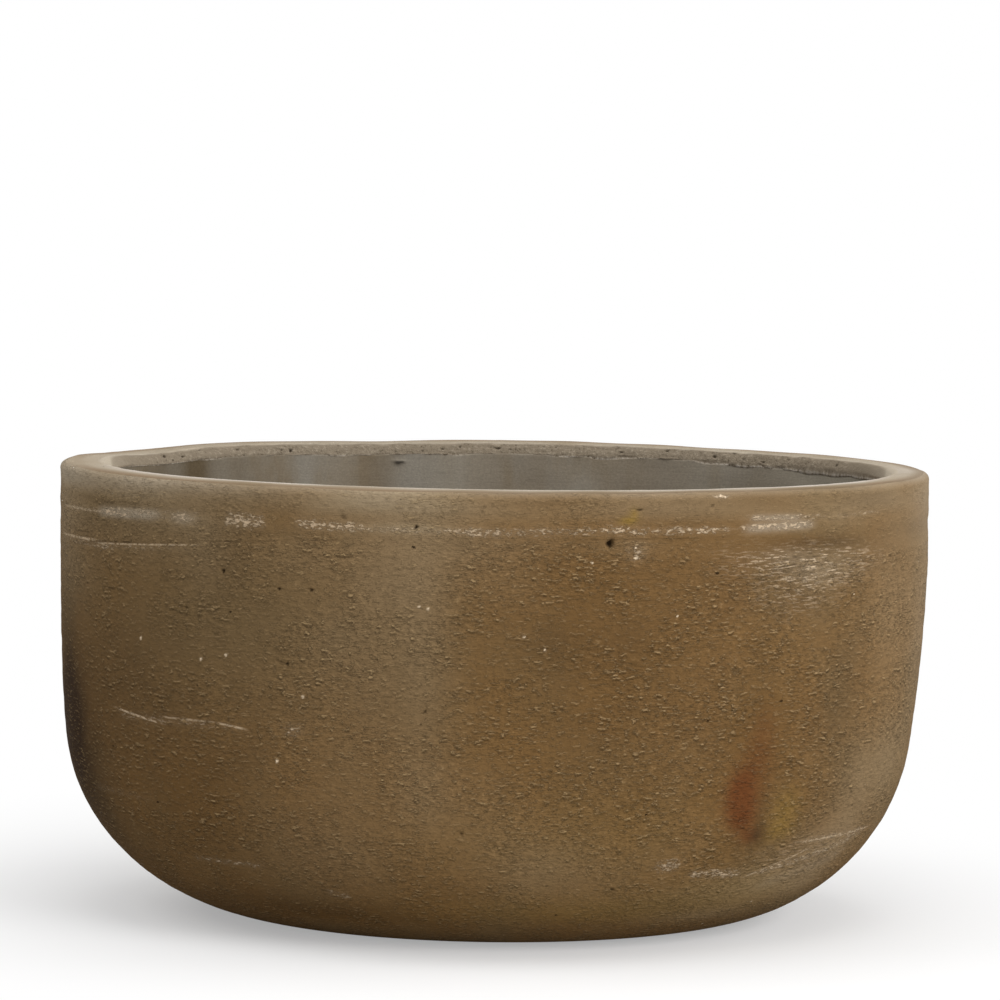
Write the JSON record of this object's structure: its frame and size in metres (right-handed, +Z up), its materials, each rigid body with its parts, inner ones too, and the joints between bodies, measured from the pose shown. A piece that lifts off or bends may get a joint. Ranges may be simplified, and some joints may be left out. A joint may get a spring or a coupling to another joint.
{
  "type": "oval low pot",
  "caption": "Low oval floor planter of thick fired clay, with a bowed wall, rounded heel, sanded flat lip, grey sealed inside, drain plug and foot pads.",
  "frame": {"origin": "middle of the pot's footprint, on the floor under the foot pads", "axes": "+Z up, +X along the pot's length, +Y along its depth, away from the viewer of the picture"},
  "size_m": [0.5, 0.38, 0.26],
  "materials": {
    "fired_clay": "coarse, scraped and unglazed",
    "seal_coat": "brushed, matt",
    "plug_rubber": "moulded, matt",
    "pad_rubber": "matt"
  },
  "bodies": {
    "pot": {"clay_body": "fired_clay", "inner_seal_coat": "seal_coat", "foot_pads": "pad_rubber"},
    "plug": {"drain_plug": "plug_rubber"}
  },
  "joints": [
    {"name": "plug_lift", "type": "slide", "parent": "pot", "child": "plug", "axis": [0, 0, 1], "range_m": [0, 0.26]}
  ]
}
